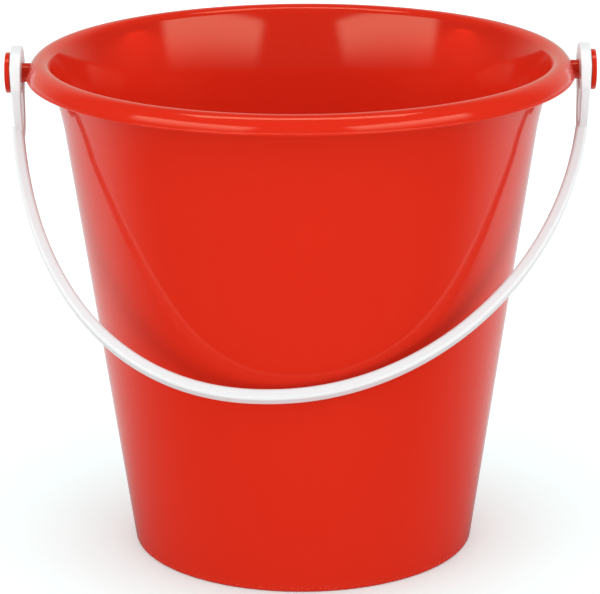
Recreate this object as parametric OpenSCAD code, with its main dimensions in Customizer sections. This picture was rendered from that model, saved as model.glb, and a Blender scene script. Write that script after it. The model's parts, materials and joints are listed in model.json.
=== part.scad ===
// Sand bucket: a tapered, open-topped moulding with a rolled rim and two headed pins,
// and a springy plastic bail whose keyhole eyes hang on the pins.
// Millimetres. +Z is up, the pins lie along X, the bail rests against the -Y side.
// The origin is the centre of the foot, on the surface that the bucket stands on.

/* [Bucket] */
// Outer diameter of the rolled rim, at its lower edge
rim_d = 180; // [145:1:225]
// Outer diameter of the base
base_d = 115; // [92:1:140]
// Height from the foot to the crest of the rim
bucket_h = 167; // [135:1:210]
// Thickness of the moulded wall, the rim and the foot ring
wall_t = 1.8; // [1.4:0.1:2.4]
// Thickness of the floor
floor_t = 2.2; // [1.6:0.1:3.0]
// Height of the floor's underside above the foot
floor_lift = 2.4; // [1.6:0.1:4.0]
// Width of the flat ring that the bucket stands on
foot_w = 4.5; // [3.0:0.1:7.0]
// Radius inside, where the floor turns up into the wall
floor_round = 4.0; // [2.0:0.1:8.0]
// Radius on the outer edge of the foot
foot_round = 0.8; // [0.4:0.1:1.4]
// Diameter of the moulding gate's stub under the floor
gate_d = 6.0; // [3.0:0.1:9.0]
// How far the gate's stub stands down from the floor
gate_t = 0.8; // [0.3:0.1:1.2]

/* [Rim] */
// How far the rim stands out beyond the wall's taper, at the crest's level
rim_reach = 8.5; // [6.0:0.1:12.0]
// Distance of the crest inside the rim's outer edge
crest_in = 4.5; // [3.5:0.1:6.0]
// How far the rim's outer edge hangs below the crest
rim_drop = 5.9; // [5.0:0.1:8.0]
// Radius of the roll between the inside wall and the crest
roll_r = 3.5; // [2.8:0.1:4.5]
// Lean of the wall, from upright, where it runs into the roll
flare_angle = 22; // [17:1:30]
// Fullness of the rim's outer curve: 2 is a quarter ellipse, less is flatter
rim_fullness = 1.9; // [1.3:0.1:2.4]

/* [Pins] */
// Diameter of the pins that the bail hangs on
pin_d = 6.3; // [5.0:0.1:7.6]
// Depth of the pins' upper side below the crest of the rim
pin_drop = 2.35; // [2.0:0.05:4.0]
// Diameter of the pins' heads
head_d = 13.4; // [11.0:0.1:16.2]
// Thickness of the heads at their edge
head_t = 1.6; // [1.2:0.1:2.6]
// Height of the dome on the heads
head_dome = 0.6; // [0.2:0.1:1.0]
// Free space between a head and the eye
head_gap = 0.3; // [0.2:0.1:0.8]

/* [Bail] */
// Distance from the pins' axis to the middle of the strap at its lowest point
bail_drop = 114.5; // [94:0.1:136]
// How far the lowest point has set to one side: negative is towards -X
bail_lean = -10.4; // [-14:0.1:14]
// Fullness of the bail's curve: 2 is half an ellipse, more is squarer
bail_fullness = 2.1; // [1.9:0.05:2.6]
// Thickness of the strap, measured in the bail's own plane
strap_t = 3.8; // [3.0:0.1:5.0]
// Width of the strap, across the bail's own plane
strap_w = 5.0; // [4.0:0.1:7.0]
// Free space between the rim's edge and an eye
eye_gap = 1.6; // [1.0:0.1:3.0]
// Thickness of the eyes round the pins
eye_t = 3.6; // [2.8:0.1:4.6]
// Thickness of the eyes at their lower end
eye_low_t = 2.6; // [2.0:0.1:3.4]
// Radius of the top of the eye, round the pin
eye_top_r = 8.8; // [7.4:0.1:10.5]
// Width of the eye's limbs beside the opening that passes the head
limb_w = 3.2; // [2.4:0.1:4.4]
// Free space all round a pin in its seat
pin_play = 0.08; // [0.04:0.01:0.10]
// Free space all round a head as it passes through the eye
head_play = 0.3; // [0.2:0.1:0.8]
// How much narrower than the pin the neck is that keeps it in its seat
neck_pinch = 0.9; // [0.4:0.1:1.4]
// Solid length of the neck, between the seat and the opening
neck_len = 2.2; // [1.4:0.1:3.4]
// Free space between the resting strap and the bucket's wall
rest_gap = 0.3; // [0.3:0.05:0.8]

/* [Hidden] */
$fn = 96;

BUCKET_RED = [0.85, 0.17, 0.10];
BAIL_WHITE = [0.96, 0.96, 0.97];

// Numbers of straight steps that stand for the curves of the outlines
ROLL_STEPS = 10;
FLARE_STEPS = 10;
RIM_STEPS = 12;
CORNER_STEPS = 6;
STRAP_STEPS = 72;
// Turns of the search for the bail's resting angle
SEARCH_STEPS = 24;
// Overlap of shapes that are one moulding
BITE = 0.4;

// The straight taper of the wall, as it would run from the foot to the crest's level
rim_r = rim_d / 2;
base_r = base_d / 2;
neck_r = rim_r - rim_reach;
taper = (neck_r - base_r) / bucket_h;
taper_angle = atan(taper);
crest_r = rim_r - crest_in;
floor_top = floor_lift + floor_t;
inner_base_r = base_r - wall_t / cos(taper_angle);

// The pins, outward from the wall along X
pin_z = bucket_h - pin_drop - pin_d / 2;
eye_in = rim_r + eye_gap;
eye_out = eye_in + eye_t;
eye_mid = (eye_in + eye_out) / 2;
head_in = eye_out + head_gap;

// The keyhole eye, downward from the pin's axis
seat_r = pin_d / 2 + pin_play;
pass_r = head_d / 2 + head_play;
pass_z = seat_r + neck_len + pass_r;
eye_low_r = pass_r + limb_w;
neck_w = pin_d - neck_pinch;
strap_from = pass_z + pass_r + limb_w / 3;

function outer_taper(z) = base_r + taper * z;
function inner_taper(z) = inner_base_r + taper * z;
function unit(v) = v / norm(v);
function left_of(v) = [-v.y, v.x];
function arc(c, r, a0, a1, steps) =
    [for (i = [0 : steps]) let (a = a0 + (a1 - a0) * i / steps) c + r * [cos(a), sin(a)]];
function bezier(a, b, c, t) = (1 - t) * (1 - t) * a + 2 * t * (1 - t) * b + t * t * c;
// Direction of a run of points at point i
function heading(p, i) = unit(p[min(i + 1, len(p) - 1)] - p[max(i - 1, 0)]);
// The run moved sideways by d, to the right of the way that it goes
function beside(p, d) = [for (i = [0 : len(p) - 1]) p[i] - d * left_of(heading(p, i))];
function backwards(p) = [for (i = [len(p) - 1 : -1 : 0]) p[i]];

// Inside face of the moulding, from the straight wall up over the crest to the rim's edge
roll_c = [crest_r, bucket_h - roll_r];
roll_start = roll_c + roll_r * [-cos(flare_angle), sin(flare_angle)];
flare_drop = (roll_start.x - inner_taper(roll_start.y)) / (tan(flare_angle) - taper);
flare_knee = [inner_taper(roll_start.y - flare_drop), roll_start.y - flare_drop];
flare_foot = [inner_taper(flare_knee.y - flare_drop), flare_knee.y - flare_drop];
flare_line = [for (i = [0 : FLARE_STEPS - 1]) bezier(flare_foot, flare_knee, roll_start, i / FLARE_STEPS)];
roll_line = arc(roll_c, roll_r, 180 - flare_angle, 90, ROLL_STEPS);
function rim_point(a) = [crest_r + crest_in * pow(sin(a), 2 / rim_fullness),
                         bucket_h - rim_drop * (1 - pow(cos(a), 2 / rim_fullness))];
rim_line = [for (i = [1 : RIM_STEPS]) rim_point(90 * i / RIM_STEPS)];
skin = concat(flare_line, roll_line, rim_line);
// The same run on the outside of the wall and the underside of the rim
skin_back = beside(skin, wall_t);

// Rounded corners low down, inside and outside
floor_corner_r = inner_taper(floor_top + floor_round) - floor_round / cos(taper_angle);
floor_corner = arc([floor_corner_r, floor_top + floor_round], floor_round, -90, -taper_angle, CORNER_STEPS);
foot_corner_r = outer_taper(foot_round) - foot_round / cos(taper_angle);
foot_corner = arc([foot_corner_r, foot_round], foot_round, -taper_angle, -90, CORNER_STEPS);
foot_in_r = base_r - foot_w;

// The bail's middle line in its own plane: x across, y down from the pins' axis
function bail_point(a) =
    let (down = bail_drop * pow(abs(sin(a)), 2 / bail_fullness),
         out = eye_mid * pow(abs(cos(a)), 2 / bail_fullness) * sign(cos(a)))
    [out + bail_lean * pow(down / bail_drop, 2), down];
function bail_angle(down) = asin(pow(down / bail_drop, bail_fullness / 2));
strap_angle = bail_angle(strap_from);
bail_line = [for (i = [0 : STRAP_STEPS])
    bail_point(strap_angle + (180 - 2 * strap_angle) * i / STRAP_STEPS)];
strap_inner = beside(bail_line, -strap_t / 2);
strap_outer = beside(bail_line, strap_t / 2);

// Room between the wall and a point of the strap's back edge, with the bail swung out by a
function edge_y(p, a) = p.y * sin(a) - strap_w / 2 * cos(a);
function edge_z(p, a) = pin_z - p.y * cos(a) - strap_w / 2 * sin(a);
function room(p, a) = (norm([p.x, edge_y(p, a)]) - outer_taper(edge_z(p, a))) * cos(taper_angle) - rest_gap;
// The smallest swing that leaves that room, by halving the interval
function rest_swing(p, low, high, n) =
    let (mid = (low + high) / 2)
    n == 0 ? high : room(p, mid) < 0 ? rest_swing(p, mid, high, n - 1) : rest_swing(p, low, mid, n - 1);
bail_swing = max([for (p = strap_inner) rest_swing(p, 0, 90, SEARCH_STEPS)]);

// Half-section of the moulding, drawn from the middle of the floor up the inside and back
module body_section() {
    polygon(concat(
        [[0, floor_top]], floor_corner, skin,
        backwards(skin_back),
        foot_corner,
        [[foot_in_r, 0], [foot_in_r, floor_lift], [0, floor_lift]]));
}

// Gate stub left where the plastic was fed in, inside the recess under the floor
module gate_stub() {
    translate([0, 0, floor_lift - gate_t]) cylinder(h = gate_t + BITE, d = gate_d);
}

// Everything inside the middle of the wall's thickness, at the height of the flare and the roll
module inside_the_wall() {
    core_line = beside(concat(flare_line, roll_line), wall_t / 2);
    rotate_extrude() polygon(concat([[0, core_line[0].y]], core_line, [[0, bucket_h]]));
}

// Pin with its domed head, long enough to reach through the wall under the rim
module headed_pin() {
    rotate([0, 90, 0]) {
        translate([0, 0, neck_r - wall_t]) cylinder(h = head_in + BITE - neck_r + wall_t, d = pin_d);
        translate([0, 0, head_in]) cylinder(h = head_t, d = head_d);
        translate([0, 0, head_in + head_t]) head_cap();
    }
}

// Domed cap of a head: a slice of a ball on the head's flat disc
module head_cap() {
    ball_r = (pow(head_d / 2, 2) + pow(head_dome, 2)) / (2 * head_dome);
    intersection() {
        translate([0, 0, head_dome - ball_r]) sphere(r = ball_r);
        cylinder(h = head_dome, d = head_d);
    }
}

module bucket_body() {
    color(BUCKET_RED) {
        rotate_extrude() body_section();
        gate_stub();
        difference() {
            for (side = [0, 180])
                rotate([0, 0, side]) translate([0, 0, pin_z]) headed_pin();
            inside_the_wall();
        }
    }
}

// Outline of an eye: two rounds and the flanks that touch both
module eye_outline() {
    flank = acos((eye_low_r - eye_top_r) / pass_z);
    function on_top(s) = eye_top_r * [s * sin(flank), cos(flank)];
    function on_low(s) = [0, -pass_z] + eye_low_r * [s * sin(flank), cos(flank)];
    circle(r = eye_top_r);
    translate([0, -pass_z]) circle(r = eye_low_r);
    polygon([on_top(1), on_top(-1), on_low(-1), on_low(1)]);
}

// Side view of an eye, across X: even round the pin, then thinner and leaning in with the strap
module eye_side() {
    low = pass_z + eye_low_r;
    low_in = eye_mid * pow(cos(bail_angle(low)), 2 / bail_fullness) - eye_low_t / 2;
    polygon([[eye_in, eye_top_r], [eye_in, -seat_r], [low_in, -low],
             [low_in + eye_low_t, -low], [eye_out, -seat_r], [eye_out, eye_top_r]]);
}

// Keyhole eye on the +X side, its seat on the pin's axis
module eye() {
    intersection() {
        rotate([90, 0, 90]) linear_extrude(height = eye_out) difference() {
            eye_outline();
            circle(r = seat_r);
            translate([0, -pass_z]) circle(r = pass_r);
            translate([-neck_w / 2, -pass_z]) square([neck_w, pass_z]);
        }
        translate([0, eye_low_r, 0]) rotate([90, 0, 0]) linear_extrude(height = 2 * eye_low_r) eye_side();
    }
}

// The strap between the eyes, in the XZ plane, hanging from the pins' axis
module strap() {
    rotate([90, 0, 0]) translate([0, 0, -strap_w / 2]) linear_extrude(height = strap_w)
        mirror([0, 1]) polygon(concat(strap_inner, backwards(strap_outer)));
}

module bail_handle() {
    color(BAIL_WHITE)
        translate([0, 0, pin_z]) rotate([-bail_swing, 0, 0]) {
            strap();
            eye();
            mirror([1, 0, 0]) eye();
        }
}

bucket_body();
bail_handle();
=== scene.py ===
"""Sand bucket with a hinged bail: the finished mouldings, their plastics and a plain studio.

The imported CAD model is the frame. Shapes are drawn in millimetres and made in metres.
"""
import bmesh
import bpy
import json
import math
from mathutils import Matrix, Vector


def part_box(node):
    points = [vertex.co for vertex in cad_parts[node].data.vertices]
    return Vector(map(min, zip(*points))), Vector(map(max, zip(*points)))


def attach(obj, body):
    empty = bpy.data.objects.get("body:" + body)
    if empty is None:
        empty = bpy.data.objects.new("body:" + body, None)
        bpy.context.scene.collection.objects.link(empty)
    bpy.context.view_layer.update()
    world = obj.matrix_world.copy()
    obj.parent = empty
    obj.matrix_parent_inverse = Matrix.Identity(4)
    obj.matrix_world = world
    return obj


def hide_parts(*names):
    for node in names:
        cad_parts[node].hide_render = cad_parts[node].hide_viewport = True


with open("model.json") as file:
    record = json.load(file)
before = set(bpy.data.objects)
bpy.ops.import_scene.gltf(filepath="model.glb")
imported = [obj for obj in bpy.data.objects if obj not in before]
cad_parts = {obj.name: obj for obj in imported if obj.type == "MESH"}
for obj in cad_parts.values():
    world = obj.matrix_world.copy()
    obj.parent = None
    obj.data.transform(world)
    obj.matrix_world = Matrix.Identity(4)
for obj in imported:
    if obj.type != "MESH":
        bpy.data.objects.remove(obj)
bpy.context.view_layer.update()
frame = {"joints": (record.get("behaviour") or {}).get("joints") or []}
MM = 0.001


# ---------------------------------------------------------------- sizes, in millimetres

def corners_mm(node):
    """Lowest and highest corner of a CAD node."""
    low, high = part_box(node)
    return low / MM, high / MM


_, bucket_high = corners_mm("bucket_body")
bail_low, bail_high = corners_mm("bail_handle")
hinge = next(joint for joint in frame["joints"] if joint["name"] == "bail_swing")

PIN_Z = hinge["pos_m"][2] / MM
RIM_R = bucket_high.y
HEAD_OUT = bucket_high.x
HEAD_R = bucket_high.z - PIN_Z
EYE_OUT = bail_high.x
EYE_TOP_R = bail_high.z - PIN_Z

# Bucket
PIN_R = 3.15
PIN_DROP = 2.35
BUCKET_H = PIN_Z + PIN_R + PIN_DROP
BASE_R = 57.5
WALL_T = 1.8
FLOOR_T = 2.2
FLOOR_LIFT = 2.4
FLOOR_ROUND = 4.0
FOOT_W = 4.5
FOOT_ROUND = 0.8
FOOT_IN_ROUND = 0.5
FOOT_FILLET = 0.7
GATE_R = 3.0
GATE_T = 0.8
GATE_FILLET = 0.4
GATE_ROUND = 0.2
RIM_REACH = 8.5
CREST_IN = 4.5
RIM_DROP = 5.9
ROLL_R = 3.5
FLARE_ANGLE = math.radians(22)
RIM_FULLNESS = 1.9
LIP_ROUND = 0.45
LIP_OUT_ROUND = 0.1
BEAD_OUT = 0.3
BEAD_R = 0.55
BEAD_ANGLE = math.radians(62)
BUCKET_SEGMENTS = 384

# Pins
HEAD_T = 1.6
HEAD_DOME = 0.6
HEAD_ROUND = 0.35
PIN_ROOT = 82.0
ROOT_ROUND = 0.1
ROOT_BAND = 0.5
PIN_SEGMENTS = 72

# Bail
BAIL_DROP = 114.5
BAIL_LEAN = -10.4
BAIL_FULLNESS = 2.1
STRAP_T = 3.8
STRAP_W = 5.0
STRAP_ROUND = 1.0
STRAP_END_ROUND = 0.5
RIDGE_T = 0.07
RIDGE_W = 0.6
EYE_T = 3.6
EYE_LOW_T = 2.6
EYE_ROUND = 0.45
PIN_PLAY = 0.08
HEAD_PLAY = 0.3
NECK_W = 5.4
NECK_H = 2.2
SEAT_R = PIN_R + PIN_PLAY
PASS_R = HEAD_R + HEAD_PLAY
PASS_DOWN = SEAT_R + NECK_H + PASS_R
LIMB_W = 3.2
EYE_LOW_R = PASS_R + LIMB_W
STRAP_FROM = PASS_DOWN + PASS_R + LIMB_W / 3

# Derived: the wall's taper, and how far the resting bail is swung out from hanging straight down
TAPER = (RIM_R - RIM_REACH - BASE_R) / BUCKET_H
TAPER_ANGLE = math.atan(TAPER)
CREST_R = RIM_R - CREST_IN
FLOOR_TOP = FLOOR_LIFT + FLOOR_T
EYE_MID = EYE_OUT - EYE_T / 2
strap_corner = Vector((BAIL_DROP + STRAP_T / 2, STRAP_W / 2))
BAIL_SWING = (math.acos((PIN_Z - bail_low.z) / strap_corner.length)
              + math.atan2(strap_corner.y, strap_corner.x))


# ---------------------------------------------------------------- outlines, as points (x, y) in millimetres

def arc(centre, radius, start, end, steps):
    """Points on a circle from one angle to another, in radians."""
    angles = [start + (end - start) * i / steps for i in range(steps + 1)]
    return [Vector((centre[0] + radius * math.cos(a), centre[1] + radius * math.sin(a))) for a in angles]


def bezier(a, b, c, steps):
    """Quadratic curve from a to c that leaves and arrives along the lines to b, without its last point."""
    ts = [i / steps for i in range(steps)]
    return [(1 - t) ** 2 * Vector(a) + 2 * t * (1 - t) * Vector(b) + t * t * Vector(c) for t in ts]


def beside(run, distance):
    """The run of points moved sideways, to the right of the way that it goes."""
    moved = []
    for i, point in enumerate(run):
        way = (run[min(i + 1, len(run) - 1)] - run[max(i - 1, 0)]).normalized()
        moved.append(point + distance * Vector((way.y, -way.x)))
    return moved


def cut_back(run, length):
    """The run without the last stretch of that length."""
    run = list(run)
    while (run[-1] - run[-2]).length <= length:
        length -= (run[-1] - run[-2]).length
        run.pop()
    run[-1] = run[-1] + (run[-2] - run[-1]).normalized() * length
    return run


def rounded(corners, steps=6, hold=0.12):
    """A run of straight stretches whose corners (x, y, radius) are rounded. Two extra points by each
    rounding hold the flat faces flat."""
    points = [Vector(corners[0][:2])]
    for before, here, after in zip(corners, corners[1:], corners[2:]):
        corner, radius = Vector(here[:2]), here[2]
        back, on = (Vector(before[:2]) - corner).normalized(), (Vector(after[:2]) - corner).normalized()
        half = back.angle(on) / 2
        reach = radius / math.tan(half)
        centre = corner + (back + on).normalized() * radius / math.sin(half)
        first, last = corner + back * reach, corner + on * reach
        start = math.atan2(first.y - centre.y, first.x - centre.x)
        sweep = math.atan2(last.y - centre.y, last.x - centre.x) - start
        sweep = (sweep + math.pi) % math.tau - math.pi
        points += [first + back * hold, *arc(centre, radius, start, start + sweep, steps), last + on * hold]
    points.append(Vector(corners[-1][:2]))
    return points


def spaced(run, longest=14.0):
    """The run with extra points along its long straight stretches."""
    points = [run[0]]
    for a, b in zip(run, run[1:]):
        parts = math.ceil((b - a).length / longest)
        points += [a.lerp(b, i / parts) for i in range(1, parts + 1)]
    return points


def inner_taper(z):
    """Inner radius of the straight wall."""
    return BASE_R - WALL_T / math.cos(TAPER_ANGLE) + TAPER * z


def rim_point(angle):
    """Point on the rim's outer curve, from its crest at 0 to its lower edge at a quarter turn."""
    across, down = math.sin(angle) ** (2 / RIM_FULLNESS), max(math.cos(angle), 0) ** (2 / RIM_FULLNESS)
    return Vector((CREST_R + CREST_IN * across, BUCKET_H - RIM_DROP * (1 - down)))


def rim_skin():
    """Inside face of the moulding, from the straight wall up through the flare, over the crest and
    down to the rim's lower edge."""
    roll_centre = Vector((CREST_R, BUCKET_H - ROLL_R))
    roll_start = roll_centre + ROLL_R * Vector((-math.cos(FLARE_ANGLE), math.sin(FLARE_ANGLE)))
    drop = (roll_start.x - inner_taper(roll_start.y)) / (math.tan(FLARE_ANGLE) - TAPER)
    knee, foot = ((inner_taper(z), z) for z in (roll_start.y - drop, roll_start.y - 2 * drop))
    flare = bezier(foot, knee, roll_start, 18)
    roll = arc(roll_centre, ROLL_R, math.pi - FLARE_ANGLE, math.pi / 2, 16)
    return flare + roll + [rim_point(math.pi / 2 * i / 24) for i in range(1, 25)]


def lip_bead(foot):
    """Small bead round the rim's lower edge, where the two halves of the mould meet."""
    centre = (foot.x + BEAD_OUT - BEAD_R, foot.y + BEAD_R)
    return arc(centre, BEAD_R, BEAD_ANGLE, -BEAD_ANGLE, 8)


def bucket_section():
    """Half-section of the bucket as (radius, height): up the inside, over the rim, down the outside,
    round the foot ring and in under the floor to the stub left by the moulding gate."""
    skin = rim_skin()
    back = beside(skin, WALL_T)
    skin = cut_back(skin, 2 * BEAD_R) + lip_bead(skin[-1])
    lip_out, lip_in = skin[-1], back[-1]
    edge = (lip_in - lip_out).normalized() * LIP_ROUND
    skin, back = cut_back(skin, LIP_OUT_ROUND), cut_back(back, LIP_ROUND)
    lip = bezier(skin[-1], lip_out, lip_out + edge, 5) + bezier(lip_in - edge, lip_in, back[-1], 5)
    inside = rounded([(0, FLOOR_TOP, 0), (inner_taper(FLOOR_TOP), FLOOR_TOP, FLOOR_ROUND), (*skin[0], 0)])
    foot_in = BASE_R - FOOT_W
    gate_end = FLOOR_LIFT - GATE_T
    outside = rounded([
        (*back[0], 0), (BASE_R, 0, FOOT_ROUND), (foot_in, 0, FOOT_IN_ROUND),
        (foot_in, FLOOR_LIFT, FOOT_FILLET), (GATE_R, FLOOR_LIFT, GATE_FILLET),
        (GATE_R, gate_end, GATE_ROUND), (0, gate_end, 0)])
    return spaced(inside[:-1]) + skin[:-1] + lip + back[:0:-1] + spaced(outside)


def pin_section():
    """Half-section of a headed pin as (radius, distance from the bucket's axis). The dome starts a
    little inside the head's rounded edge."""
    head_under = HEAD_OUT - HEAD_DOME - HEAD_T
    head_edge = HEAD_OUT - HEAD_DOME
    ball_r = (HEAD_R ** 2 + HEAD_DOME ** 2) / (2 * HEAD_DOME)
    dome_angle = 0.82 * math.asin(HEAD_R / ball_r)
    toward_dome = (HEAD_R * 0.9, HEAD_OUT - HEAD_DOME * 0.81, 0)
    shank = rounded([
        (0, PIN_ROOT, 0), (PIN_R, PIN_ROOT, ROOT_ROUND), (PIN_R, head_under, HEAD_ROUND),
        (HEAD_R, head_under, HEAD_ROUND), (HEAD_R, head_edge, HEAD_ROUND), toward_dome])
    dome = arc((0, HEAD_OUT - ball_r), ball_r, math.pi / 2 - dome_angle, math.pi / 2, 12)
    return shank[:-1] + dome


def bail_point(angle):
    """Middle of the strap in the bail's own plane: x across, y upward from the pins' axis."""
    down = BAIL_DROP * math.sin(angle) ** (2 / BAIL_FULLNESS)
    out = EYE_MID * abs(math.cos(angle)) ** (2 / BAIL_FULLNESS)
    return Vector((math.copysign(out, math.cos(angle)) + BAIL_LEAN * (down / BAIL_DROP) ** 2, -down))


def bail_angle(down):
    """The curve's own angle at a distance below the pins' axis."""
    return math.asin((down / BAIL_DROP) ** (BAIL_FULLNESS / 2))


def strap_path(steps=160):
    """Middle line of the strap, from one eye to the other."""
    first = bail_angle(STRAP_FROM)
    return [bail_point(first + (math.pi - 2 * first) * i / steps) for i in range(steps + 1)]


def strap_section():
    """Closed outline of the strap's section, with the faint ridge of the mould's parting line
    half-way up each side."""
    t, w, ridge = STRAP_T / 2, STRAP_W / 2, RIDGE_W / 2
    side = [(t, -w, STRAP_ROUND), (t, -ridge, 0.2), (t + RIDGE_T, 0, 0.1), (t, ridge, 0.2),
            (t, w, STRAP_ROUND)]
    other = [(-x, -y, r) for x, y, r in side]
    return rounded([(0, -w, 0), *side, *other, (0, -w, 0)], steps=4, hold=0.06)[:-1]


def eye_outline(steps=40):
    """Outer outline of an eye in its own plane: two rounds and the flanks that touch both."""
    flank = math.acos((EYE_LOW_R - EYE_TOP_R) / PASS_DOWN)
    top = arc((0, 0), EYE_TOP_R, math.pi / 2 - flank, math.pi / 2 + flank, steps)
    low = arc((0, -PASS_DOWN), EYE_LOW_R, math.pi / 2 + flank, 5 * math.pi / 2 - flank, steps)
    return top + low


def keyhole(steps=32):
    """Outline of an eye's opening: the pin's seat, the neck that holds the pin there, and the round
    that passes the head."""
    seat_half = math.asin(NECK_W / 2 / SEAT_R)
    pass_half = math.asin(NECK_W / 2 / PASS_R)
    seat = arc((0, 0), SEAT_R, seat_half - math.pi / 2, 3 * math.pi / 2 - seat_half, steps)
    wide = arc((0, -PASS_DOWN), PASS_R, math.pi / 2 + pass_half, 5 * math.pi / 2 - pass_half, steps)
    return seat + wide


# ---------------------------------------------------------------- node trees

class Link:
    """A node's output that can be added, subtracted, multiplied and divided like a number."""

    def __init__(self, tree, socket):
        self.tree, self.socket = tree, socket

    def math(self, operation, a, b=0.0):
        return self.tree.add("ShaderNodeMath", {"operation": operation}, {0: a, 1: b})

    def __add__(self, other):
        return self.math("ADD", self, other)

    def __radd__(self, other):
        return self.math("ADD", other, self)

    def __sub__(self, other):
        return self.math("SUBTRACT", self, other)

    def __rsub__(self, other):
        return self.math("SUBTRACT", other, self)

    def __mul__(self, other):
        return self.math("MULTIPLY", self, other)

    def __rmul__(self, other):
        return self.math("MULTIPLY", other, self)

    def __truediv__(self, other):
        return self.math("DIVIDE", self, other)

    def floor(self):
        return self.math("FLOOR", self)

    def sin(self):
        return self.math("SINE", self)

    def cos(self):
        return self.math("COSINE", self)

    def abs(self):
        return self.math("ABSOLUTE", self)

    def sqrt(self):
        return self.math("SQRT", self)


class Tree:
    """Adds nodes to a node tree. An input is given a number, a tuple, a data block or another Link."""

    def __init__(self, tree):
        self.tree = tree

    def add(self, kind, settings=None, inputs=None, output=0):
        """A new node, as the Link of one of its outputs."""
        node = self.tree.nodes.new(kind)
        for name, value in (settings or {}).items():
            setattr(node, name, value)
        for name, value in (inputs or {}).items():
            if isinstance(value, Link):
                self.tree.links.new(value.socket, node.inputs[name])
            else:
                node.inputs[name].default_value = value
        return Link(self, node.outputs[output]) if node.outputs else None

    def outputs(self, link, *names):
        """More outputs of the node that a link comes from."""
        return [Link(self, link.socket.node.outputs[name]) for name in names]

    def ramp(self, value, low, high, to_low=0.0, to_high=1.0):
        """The value's way from low to high as a smooth step."""
        return self.add("ShaderNodeMapRange", {"interpolation_type": "SMOOTHSTEP"},
                        {"Value": value, "From Min": low, "From Max": high,
                         "To Min": to_low, "To Max": to_high})

    def mix(self, factor, a, b):
        """Colour between a and b."""
        return self.add("ShaderNodeMix", {"data_type": "RGBA"}, {0: factor, 6: a, 7: b}, output=2)

    def split(self, vector):
        """The three parts of a vector."""
        parts = self.add("ShaderNodeSeparateXYZ", inputs={0: vector})
        return self.outputs(parts, "X", "Y", "Z")

    def join(self, x, y, z):
        """A vector of three parts."""
        return self.add("ShaderNodeCombineXYZ", inputs={0: x, 1: y, 2: z})

    def noise(self, vector, scale, detail=2.0, roughness=0.5):
        """Noise from 0 to 1 with a mean of a half."""
        return self.add("ShaderNodeTexNoise", inputs={
            "Vector": vector, "Scale": scale, "Detail": detail, "Roughness": roughness})


def geometry_tree(name, sockets):
    """A Geometry Nodes tree with these named inputs after its geometry."""
    group = bpy.data.node_groups.new(name, "GeometryNodeTree")
    group.interface.new_socket("Geometry", in_out="INPUT", socket_type="NodeSocketGeometry")
    for label, kind in sockets:
        group.interface.new_socket(label, in_out="INPUT", socket_type=kind)
    group.interface.new_socket("Geometry", in_out="OUTPUT", socket_type="NodeSocketGeometry")
    tree = Tree(group)
    given = tree.add("NodeGroupInput")
    return group, tree, [Link(tree, s) for s in given.socket.node.outputs[:len(sockets) + 1]]


def finish_tree(tree, geometry, material):
    """Ends a tree: smooth faces, no instances left, and the piece's own plastic."""
    smooth = tree.add("GeometryNodeSetShadeSmooth", inputs={"Geometry": geometry})
    real = tree.add("GeometryNodeRealizeInstances", inputs={"Geometry": smooth})
    made = tree.add("GeometryNodeSetMaterial", inputs={"Geometry": real, "Material": material})
    tree.add("NodeGroupOutput", inputs={0: made})


def turned_tree():
    """Turns a half-section about the Z axis. The section is a row of points in the XZ plane."""
    group, tree, (section, segments, material) = geometry_tree(
        "turned_moulding", [("Segments", "NodeSocketInt"), ("Plastic", "NodeSocketMaterial")])
    count = tree.add("GeometryNodeAttributeDomainSize", inputs={"Geometry": section})
    grid = tree.add("GeometryNodeMeshGrid", inputs={
        "Size X": 1.0, "Size Y": 1.0, "Vertices X": count, "Vertices Y": segments + 1})
    index = tree.add("GeometryNodeInputIndex")
    row = (index / (segments + 1)).floor()
    angle = (index - row * (segments + 1)) / segments * math.tau
    place = tree.add("GeometryNodeInputPosition")
    drawn = tree.add("GeometryNodeSampleIndex", {"data_type": "FLOAT_VECTOR", "domain": "POINT"},
                     {"Geometry": section, "Value": place, "Index": row})
    radius, _, height = tree.split(drawn)
    round_place = tree.join(radius * angle.cos(), radius * angle.sin(), height)
    skin = tree.add("GeometryNodeSetPosition", inputs={"Geometry": grid, "Position": round_place})
    closed = tree.add("GeometryNodeMergeByDistance", inputs={"Geometry": skin, "Distance": 0.002 * MM})
    finish_tree(tree, closed, material)
    return group


def swept_tree():
    """Carries a closed section along a flat path in the XY plane, with flat ends."""
    group, tree, (path, section, material) = geometry_tree(
        "swept_strap", [("Section", "NodeSocketObject"), ("Plastic", "NodeSocketMaterial")])
    line = tree.add("GeometryNodeMeshToCurve", inputs={"Mesh": path})
    upright = tree.add("GeometryNodeSetCurveNormal", {"mode": "Z_UP"}, {"Curve": line})
    drawn = tree.add("GeometryNodeObjectInfo", inputs={"Object": section}, output="Geometry")
    outline = tree.add("GeometryNodeMeshToCurve", inputs={"Mesh": drawn})
    strap = tree.add("GeometryNodeCurveToMesh", inputs={
        "Curve": upright, "Profile Curve": outline, "Fill Caps": True})
    finish_tree(tree, strap, material)
    return group


# ---------------------------------------------------------------- plastics

POLYPROPYLENE_IOR = 1.49


def plastic(name):
    """A new material: its tree, its Principled shader and the piece's own coordinates."""
    material = bpy.data.materials.new(name)
    material.use_nodes = True
    tree = Tree(material.node_tree)
    shader = material.node_tree.nodes["Principled BSDF"]
    place = tree.add("ShaderNodeTexCoord", output="Object")
    return material, tree, shader, place


def feed(tree, node, **inputs):
    """Links values to a node's sockets, whose names have underscores for spaces."""
    for name, link in inputs.items():
        tree.tree.links.new(link.socket, node.inputs[name.replace("_", " ")])


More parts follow.
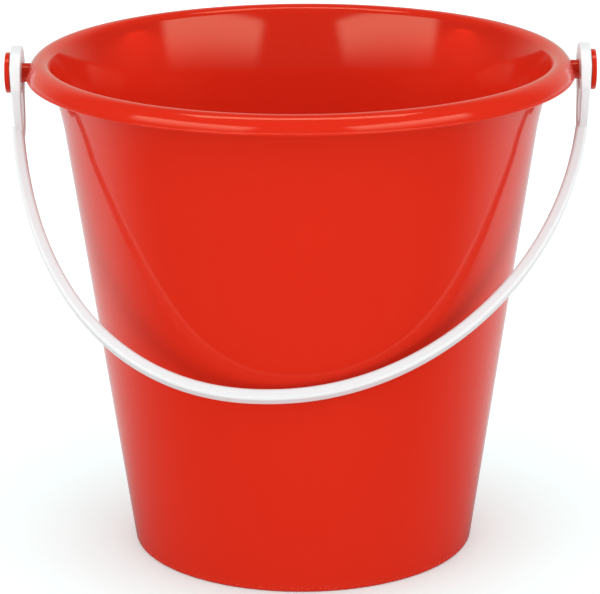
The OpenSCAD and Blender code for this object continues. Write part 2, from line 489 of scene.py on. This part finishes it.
def red_plastic():
    """Glossy injection-moulded polypropylene, with faint flow marks and fine rub lines up the wall, the
    orange peel of a polished mould, slight sinks, and scuffs on the rim's edge and the foot."""
    material, tree, shader, place = plastic("red_plastic")
    shader.inputs["IOR"].default_value = POLYPROPYLENE_IOR
    shader.inputs["Specular Tint"].default_value = (1.0, 0.80, 0.55, 1)
    x, y, z = tree.split(place)
    radius = (x * x + y * y).sqrt()
    around = x.math("ARCTAN2", y, x)

    cloud = tree.noise(place, scale=26.0, detail=3.0)
    up_the_wall = tree.join(around * 9.0, radius * 30.0, z * 7.0)
    flow = tree.noise(up_the_wall, scale=1.0, detail=4.0, roughness=0.6)
    grit = tree.noise(place, scale=1400.0, detail=3.0, roughness=0.7)
    fine_lines = tree.join(around * 160.0, radius * 20.0, z * 14.0)
    rub_lines = tree.noise(fine_lines, scale=1.0)

    foot = tree.ramp(z, 0.2 * MM, 4.0 * MM, 1.0, 0.0)
    rim_edge = tree.ramp(radius, (RIM_R - 1.6) * MM, (RIM_R - 0.1) * MM)
    scuffs = foot * tree.ramp(grit, 0.48, 0.66) + rim_edge * tree.ramp(grit, 0.62, 0.74) * 0.5
    rubs = tree.ramp(rub_lines, 0.66, 0.72) * tree.ramp(flow, 0.45, 0.7) * 0.5

    deep = (0.63, 0.0200, 0.0075, 1)
    light = (0.66, 0.0230, 0.0088, 1)
    worn = (0.66, 0.075, 0.05, 1)
    colour = tree.mix(cloud * 0.6 + flow * 0.4, deep, light)
    colour = tree.mix(scuffs * 0.5, colour, worn)
    roughness = 0.085 + (flow - 0.5) * 0.03 + scuffs * 0.35 + rubs * 0.08

    peel = tree.noise(place, scale=420.0)
    sink = tree.noise(place, scale=60.0, detail=1.0)
    height = peel * 0.0035 + sink * 0.02 + grit * foot * 0.02 - rubs * 0.0015
    bump = tree.add("ShaderNodeBump", inputs={"Strength": 1.0, "Distance": 1.0 * MM, "Height": height})
    feed(tree, shader, Base_Color=colour, Roughness=roughness, Normal=bump)
    return material


def white_plastic():
    """Satin-gloss white polypropylene: slightly uneven gloss, a fine peel and grit, and small grey
    rubs on the eyes, which turn on the pins."""
    material, tree, shader, place = plastic("white_plastic")
    shader.inputs["IOR"].default_value = POLYPROPYLENE_IOR
    x, _, _ = tree.split(place)
    cloud = tree.noise(place, scale=40.0, detail=3.0)
    grit = tree.noise(place, scale=1600.0, detail=3.0, roughness=0.7)
    eye = tree.ramp(x.abs(), (EYE_OUT - EYE_T - 1.0) * MM, (EYE_OUT - EYE_T) * MM)
    rubs = eye * tree.ramp(grit, 0.58, 0.72)

    clean = (0.77, 0.785, 0.79, 1)
    shade = (0.745, 0.76, 0.77, 1)
    grey = (0.62, 0.61, 0.61, 1)
    colour = tree.mix(cloud, clean, shade)
    colour = tree.mix(rubs * 0.35, colour, grey)
    roughness = 0.24 + (cloud - 0.5) * 0.08 + rubs * 0.2
    peel = tree.noise(place, scale=520.0)
    bump = tree.add("ShaderNodeBump", inputs={
        "Strength": 1.0, "Distance": 1.0 * MM, "Height": peel * 0.005 + grit * 0.0015})
    feed(tree, shader, Base_Color=colour, Roughness=roughness, Normal=bump)
    return material


# ---------------------------------------------------------------- making the pieces

def new_object(name, mesh):
    """An object of that mesh, at the origin."""
    piece = bpy.data.objects.new(name, mesh)
    bpy.context.scene.collection.objects.link(piece)
    return piece


def drawn_row(name, points, closed=False, flat="XZ"):
    """A row of points in millimetres as a mesh of edges in metres, in the XZ or the XY plane."""
    mesh = bpy.data.meshes.new(name)
    places = [(p.x * MM, 0, p.y * MM) if flat == "XZ" else (p.x * MM, p.y * MM, 0) for p in points]
    edges = [(i, i + 1) for i in range(len(points) - 1)]
    mesh.from_pydata(places, edges + ([(len(points) - 1, 0)] if closed else []), [])
    return new_object(name, mesh)


def with_modifier(piece, kind, **settings):
    """Gives a piece a modifier with these settings."""
    modifier = piece.modifiers.new(kind.lower(), kind)
    for name, value in settings.items():
        setattr(modifier, name, value)
    return modifier


def with_tree(piece, group, **values):
    """Gives a piece a Geometry Nodes tree, with values for the tree's named inputs."""
    modifier = with_modifier(piece, "NODES", node_group=group)
    for socket in group.interface.items_tree:
        if socket.in_out == "INPUT" and socket.name in values:
            modifier[socket.identifier] = values[socket.name]


def settle(piece, drop=()):
    """Turns a piece's modifiers into plain mesh, and removes the helpers that they used."""
    depsgraph = bpy.context.evaluated_depsgraph_get()
    mesh = bpy.data.meshes.new_from_object(piece.evaluated_get(depsgraph), depsgraph=depsgraph)
    piece.modifiers.clear()
    piece.data = mesh
    for helper in drop:
        bpy.data.objects.remove(helper)
    return piece


def face_outward(piece):
    """Merges doubles and turns every face of a closed piece outward."""
    form = bmesh.new()
    form.from_mesh(piece.data)
    bmesh.ops.remove_doubles(form, verts=form.verts, dist=0.001 * MM)
    bmesh.ops.recalc_face_normals(form, faces=form.faces)
    if form.calc_volume(signed=True) < 0:
        bmesh.ops.reverse_faces(form, faces=form.faces)
    form.to_mesh(piece.data)
    form.free()
    return piece


def turned(name, section, segments, tree, material):
    """A piece turned about Z from its half-section."""
    piece = drawn_row(name, section)
    with_tree(piece, tree, Segments=segments, Plastic=material)
    return face_outward(settle(piece))


def fused(piece, others, crease=math.radians(32)):
    """The piece and the others as one moulding, with level shading and its corners kept crisp."""
    for other in others:
        with_modifier(piece, "BOOLEAN", operation="UNION", solver="EXACT", object=other)
    settle(piece, drop=others)
    face_outward(piece)
    piece.data.shade_smooth()
    piece.data.set_sharp_from_angle(angle=crease)
    with_modifier(piece, "WEIGHTED_NORMAL", keep_sharp=True, weight=50)
    return settle(piece)


def wall_middle(z, skin):
    """Radius of the middle of the wall's thickness at a height, under the rim."""
    middle = beside(skin, WALL_T / 2)
    for a, b in zip(middle, middle[1:]):
        if a.y <= z <= b.y:
            return a.x + (b.x - a.x) * (z - a.y) / (b.y - a.y)
    raise ValueError(f"the wall doesn't reach a height of {z} mm")


def headed_pin(name, turn, tree, material):
    """A headed pin, turned about Z by that angle, whose root ends inside the bucket's wall."""
    piece = turned(name, pin_section(), PIN_SEGMENTS, tree, material)
    lay_down = Matrix.Rotation(math.pi / 2, 4, "Y")
    piece.data.transform(Matrix.Translation((0, 0, PIN_Z * MM)) @ lay_down)
    skin = rim_skin()
    for vertex in piece.data.vertices:
        if vertex.co.x < (PIN_ROOT + ROOT_BAND) * MM:
            radius = wall_middle(vertex.co.z / MM, skin) * MM
            vertex.co.x = math.sqrt(radius ** 2 - vertex.co.y ** 2)
    piece.data.transform(Matrix.Rotation(turn, 4, "Z"))
    return piece


def make_bucket(tree, material):
    """The bucket: wall, floor, foot ring and rim turned in one, with both headed pins."""
    bucket = turned("bucket_moulding", bucket_section(), BUCKET_SEGMENTS, tree, material)
    pins = [headed_pin(f"pin_{i}", math.pi * i, tree, material) for i in range(2)]
    return fused(bucket, pins)


def plate(name, outline, hole, thickness, rounding, material):
    """A flat plate with a hole and rounded edges. It lies in the YZ plane, its thickness along X."""
    form = bmesh.new()
    for run in (outline, hole):
        row = [form.verts.new((-thickness / 2 * MM, p.x * MM, p.y * MM)) for p in run]
        for a, b in zip(row, row[1:] + row[:1]):
            form.edges.new((a, b))
    bmesh.ops.triangle_fill(form, edges=form.edges, use_beauty=True)
    grown = bmesh.ops.extrude_face_region(form, geom=form.faces)
    moved = [item for item in grown["geom"] if isinstance(item, bmesh.types.BMVert)]
    bmesh.ops.translate(form, verts=moved, vec=(thickness * MM, 0, 0))
    bmesh.ops.recalc_face_normals(form, faces=form.faces)
    around_faces = [e for e in form.edges if e.is_manifold and e.calc_face_angle() > math.radians(60)
                    and abs(e.verts[0].co.x - e.verts[1].co.x) < 0.1 * MM]
    bmesh.ops.bevel(form, geom=around_faces, offset=rounding * MM, segments=4, profile=0.5,
                    affect="EDGES", clamp_overlap=True)
    mesh = bpy.data.meshes.new(name)
    form.to_mesh(mesh)
    form.free()
    mesh.materials.append(material)
    return new_object(name, mesh)


def keyhole_eye(name, side, material):
    """An eye on one side: even round the pin, then thinner and leaning in with the strap."""
    piece = plate(name, eye_outline(), keyhole(), EYE_T, EYE_ROUND, material)
    low = PASS_DOWN + EYE_LOW_R
    lean = EYE_MID * math.cos(bail_angle(low)) ** (2 / BAIL_FULLNESS) - EYE_MID
    form = bmesh.new()
    form.from_mesh(piece.data)
    bmesh.ops.bisect_plane(form, geom=[*form.verts, *form.edges, *form.faces],
                           plane_co=(0, 0, -SEAT_R * MM), plane_no=(0, 0, 1))
    for vertex in form.verts:
        share = max(0.0, (-vertex.co.z / MM - SEAT_R) / (low - SEAT_R))
        vertex.co.x *= 1 + share * (EYE_LOW_T / EYE_T - 1)
        vertex.co.x = side * (vertex.co.x + (EYE_MID + share * lean) * MM)
    form.to_mesh(piece.data)
    form.free()
    return face_outward(piece)


def make_bail(tree, material):
    """The bail: a strap swept along its sprung curve, and a keyhole eye at each end."""
    section = drawn_row("strap_section", strap_section(), closed=True, flat="XY")
    bail = drawn_row("bail_moulding", strap_path(), flat="XY")
    with_tree(bail, tree, Section=section, Plastic=material)
    settle(bail, drop=[section])
    face_outward(bail)
    with_modifier(bail, "BEVEL", width=STRAP_END_ROUND * MM, segments=4, limit_method="ANGLE",
                  angle_limit=math.radians(55))
    settle(bail)
    bail.data.transform(Matrix.Rotation(math.pi / 2, 4, "X"))
    eyes = [keyhole_eye(f"eye_{side}", side, material) for side in (-1, 1)]
    fused(bail, eyes)
    swing = Matrix.Rotation(-BAIL_SWING, 4, "X")
    bail.data.transform(Matrix.Translation((0, 0, PIN_Z * MM)) @ swing)
    return bail


# ---------------------------------------------------------------- studio

# The camera's place in metres, its lens in millimetres and its turns in degrees
CAMERA_PLACE = (-0.0014, -0.950, 0.3725)
CAMERA_LENS = 176.5
LOOK_DOWN = 16.92
PAN = -0.045
ROLL = -0.346

# The room's brightness, where 1 shows as white, and the tint of what is mirrored of it
WHITE = 1.0
FILL = 1.08
MIRRORED_DARK = 0.08
MIRRORED_SWEEP = 0.68
WARM = (1.0, 0.95, 0.82, 1)

# The floor's paper: as the camera sees it, as it gives light back, and as it is mirrored in front
PAPER = (0.96, 1.15, 1.15, 1)
PAPER_BOUNCED = (0.70, 0.70, 0.70, 1)
PAPER_IN_FRONT = (0.05, 0.05, 0.05, 1)
FLOOR_HALF = 4.0


def make_camera():
    """A long lens in front of the bucket, a little above it, looking down into the mouth."""
    data = bpy.data.cameras.new("camera")
    data.sensor_width = 36.0
    data.lens = CAMERA_LENS
    data.clip_start, data.clip_end = 0.05, 20.0
    camera = bpy.data.objects.new("camera", data)
    bpy.context.scene.collection.objects.link(camera)
    tilt = Matrix.Rotation(math.radians(90 - LOOK_DOWN), 4, "X")
    pan = Matrix.Rotation(math.radians(PAN), 4, "Z")
    roll = Matrix.Rotation(math.radians(ROLL), 4, "Z")
    camera.matrix_world = Matrix.Translation(CAMERA_PLACE) @ pan @ tilt @ roll
    bpy.context.scene.camera = camera


def soft_light(name, place, aim, size, radiance, colour=(1, 1, 1)):
    """A rectangular soft light of that radiance, aimed at a point. The camera doesn't see it."""
    data = bpy.data.lights.new(name, "AREA")
    data.shape = "RECTANGLE"
    data.size, data.size_y = size
    data.energy = radiance * math.pi * size[0] * size[1]
    data.color = colour
    lamp = bpy.data.objects.new(name, data)
    lamp.location = place
    lamp.rotation_euler = (Vector(aim) - Vector(place)).to_track_quat("-Z", "Y").to_euler()
    lamp.visible_camera = False
    bpy.context.scene.collection.objects.link(lamp)
    return lamp


def fade_edges(lamp):
    """Fades a lamp out toward its edges, most of all toward the lower one, as a diffuser does."""
    lamp.data.use_nodes = True
    tree = Tree(lamp.data.node_tree)
    place = tree.add("ShaderNodeNewGeometry", output="Parametric")
    across, up, _ = tree.split(place)
    sides = tree.ramp(across, 0.0, 0.12) * tree.ramp(across, 0.88, 1.0, 1.0, 0.0)
    strength = sides * tree.ramp(up, 0.12, 0.8) * tree.ramp(up, 0.9, 1.0, 1.0, 0.0)
    feed(tree, lamp.data.node_tree.nodes["Emission"], Strength=strength)


def make_world():
    """White all round for the camera, and as light even all round. Mirrored, it is warm, bright only
    low down behind the bucket, where the paper sweep hangs, and dark elsewhere."""
    world = bpy.data.worlds.new("studio")
    world.use_nodes = True
    bpy.context.scene.world = world
    tree = Tree(world.node_tree)
    direction = tree.add("ShaderNodeTexCoord", output="Generated")
    _, y, z = tree.split(direction)
    behind = tree.ramp(y, 0.35, 0.85)
    low = tree.ramp(z, 0.55, 0.9, 1.0, 0.0)
    mirrored = MIRRORED_DARK + (MIRRORED_SWEEP - MIRRORED_DARK) * behind * low
    to_camera = tree.add("ShaderNodeLightPath", output="Is Camera Ray")
    [glossy] = tree.outputs(to_camera, "Is Glossy Ray")
    strength = FILL + (mirrored - FILL) * glossy
    strength = strength + (WHITE - strength) * to_camera
    colour = tree.mix(glossy, (1, 1, 1, 1), WARM)
    feed(tree, world.node_tree.nodes["Background"], Color=colour, Strength=strength)


def make_floor():
    """A wide pale floor. It gives less back to reflections in front, where the room is dark."""
    mesh = bpy.data.meshes.new("floor")
    corners = ((-1, -1), (1, -1), (1, 1), (-1, 1))
    mesh.from_pydata([(x * FLOOR_HALF, y * FLOOR_HALF, 0) for x, y in corners], [], [(0, 1, 2, 3)])
    floor = new_object("floor", mesh)
    material = bpy.data.materials.new("floor_paper")
    material.use_nodes = True
    tree = Tree(material.node_tree)
    shader = material.node_tree.nodes["Principled BSDF"]
    shader.inputs["Roughness"].default_value = 0.9
    shader.inputs["Specular IOR Level"].default_value = 0.0
    place = tree.add("ShaderNodeTexCoord", output="Object")
    _, y, _ = tree.split(place)
    to_camera = tree.add("ShaderNodeLightPath", output="Is Camera Ray")
    [mirrored] = tree.outputs(to_camera, "Is Glossy Ray")
    front = tree.ramp(y, -0.12, 0.12, 1.0, 0.0)
    bounced = tree.mix(mirrored * front, PAPER_BOUNCED, PAPER_IN_FRONT)
    colour = tree.mix(to_camera, bounced, PAPER)
    feed(tree, shader, Base_Color=colour)
    mesh.materials.append(material)


def make_studio():
    """Even light from all round, as in a white tent. Two windows in front and two strips overhead are
    seen only as mirrored panes, and unseen lights fill the front and the inside."""
    make_world()
    make_floor()
    middle = (0, 0, 0.09)
    for side, name in ((-1, "left"), (1, "right")):
        window = soft_light(f"window_{name}", place=(side * 1.02, -0.95, 0.62), aim=middle,
                            size=(1.5, 0.85), radiance=3.2)
        window.visible_diffuse = False
        fade_edges(window)
        fill = soft_light(f"fill_{name}", place=(side * 0.95, -0.95, 0.22), aim=middle,
                          size=(1.2, 0.4), radiance=2.6)
        fill.visible_glossy = False
    for name, y in (("strip_front", -0.20), ("strip_back", 0.0)):
        strip = soft_light(name, place=(0, y, 1.5), aim=middle, size=(1.4, 0.17), radiance=4.4,
                           colour=(1.0, 0.93, 0.84))
        strip.visible_diffuse = False
    overhead = soft_light("overhead", place=(0, 0.1, 1.6), aim=middle, size=(2.4, 1.8), radiance=0.12)
    overhead.visible_glossy = False
    mouth = soft_light("mouth_fill", place=(0, 0, 0.163), aim=(0, 0, 0), size=(0.12, 0.12), radiance=0.55)
    mouth.visible_glossy = False
    bpy.context.scene.view_settings.view_transform = "Standard"


# ---------------------------------------------------------------- assembly

make_camera()
make_studio()

turning, sweeping = turned_tree(), swept_tree()

bucket = make_bucket(turning, red_plastic())
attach(bucket, "bucket")
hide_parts("bucket_body")

bail = make_bail(sweeping, white_plastic())
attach(bail, "bail")
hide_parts("bail_handle")
